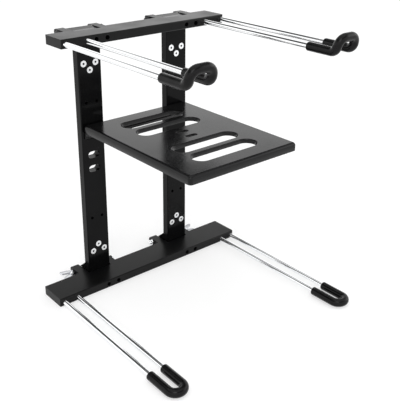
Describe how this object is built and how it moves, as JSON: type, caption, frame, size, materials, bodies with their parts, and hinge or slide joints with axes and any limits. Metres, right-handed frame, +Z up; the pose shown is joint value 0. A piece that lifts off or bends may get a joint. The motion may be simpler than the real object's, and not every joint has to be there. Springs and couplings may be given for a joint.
{
  "type": "folding laptop stand",
  "caption": "Folding booth laptop stand: two cross bars hinged to flat uprights, pull-out wire legs and arms with rubber boots, slotted shelf between.",
  "frame": {"origin": "middle of the base bar's underside, on the table", "axes": "+X along the bars to the right as seen from the front, -Y to the front where the legs and arms point, +Z up"},
  "size_m": [0.281, 0.2756, 0.3341],
  "materials": {
    "black_paint": "gloss black powder coat",
    "black_steel": "black zinc",
    "zinc_steel": "bright zinc",
    "bright_chrome": "polished",
    "black_rubber": "satin",
    "nylon": "natural nylon"
  },
  "bodies": {
    "base": {"base_bar": "black_paint", "base_cap_nuts": "bright_chrome", "base_hinge_washers": "nylon", "base_grub_screws": "zinc_steel"},
    "uprights": {"left_upright": "black_paint", "right_upright": "black_paint", "left_base_hinge_block": "black_paint", "right_base_hinge_block": "black_paint", "left_top_hinge_block": "black_paint", "right_top_hinge_block": "black_paint", "left_base_block_screws": "zinc_steel", "right_base_block_screws": "zinc_steel", "left_top_block_screws": "zinc_steel", "right_top_block_screws": "zinc_steel", "shelf": "black_paint", "shelf_screws": "black_steel"},
    "top": {"top_bar": "black_paint", "top_pivot_bolts": "black_steel", "top_pivot_nuts": "black_steel", "top_hinge_washers": "nylon", "top_grub_screws": "zinc_steel"},
    "left_leg_pair": {"left_leg": "bright_chrome", "left_leg_boot": "black_rubber"},
    "right_leg_pair": {"right_leg": "bright_chrome", "right_leg_boot": "black_rubber"},
    "left_arm_pair": {"left_arm": "bright_chrome", "left_arm_boot": "black_rubber"},
    "right_arm_pair": {"right_arm": "bright_chrome", "right_arm_boot": "black_rubber"},
    "left_wing": {"left_wing_bolt": "zinc_steel"},
    "right_wing": {"right_wing_bolt": "zinc_steel"}
  },
  "joints": [
    {"name": "base_fold", "type": "hinge", "parent": "base", "child": "uprights", "pos_m": [0, 0.0328, 0.00525], "axis": [-1, 0, 0], "range_deg": [0, 90]},
    {"name": "top_fold", "type": "hinge", "parent": "uprights", "child": "top", "pos_m": [0, 0.0328, 0.31475], "axis": [-1, 0, 0], "range_deg": [0, 264]},
    {"name": "left_leg_slide", "type": "slide", "parent": "base", "child": "left_leg_pair", "axis": [0, -1, 0], "range_m": [0, 0.015]},
    {"name": "right_leg_slide", "type": "slide", "parent": "base", "child": "right_leg_pair", "axis": [0, -1, 0], "range_m": [0, 0.015]},
    {"name": "left_arm_slide", "type": "slide", "parent": "top", "child": "left_arm_pair", "axis": [0, -1, 0], "range_m": [0, 0.015]},
    {"name": "right_arm_slide", "type": "slide", "parent": "top", "child": "right_arm_pair", "axis": [0, -1, 0], "range_m": [0, 0.015]},
    {"name": "left_wing_turn", "type": "hinge", "parent": "base", "child": "left_wing", "pos_m": [-0.096, 0.0328, 0.00525], "axis": [-1, 0, 0], "range_deg": [-8, 48]},
    {"name": "right_wing_turn", "type": "hinge", "parent": "base", "child": "right_wing", "pos_m": [0.096, 0.0328, 0.00525], "axis": [-1, 0, 0], "range_deg": [-8, 48]}
  ]
}
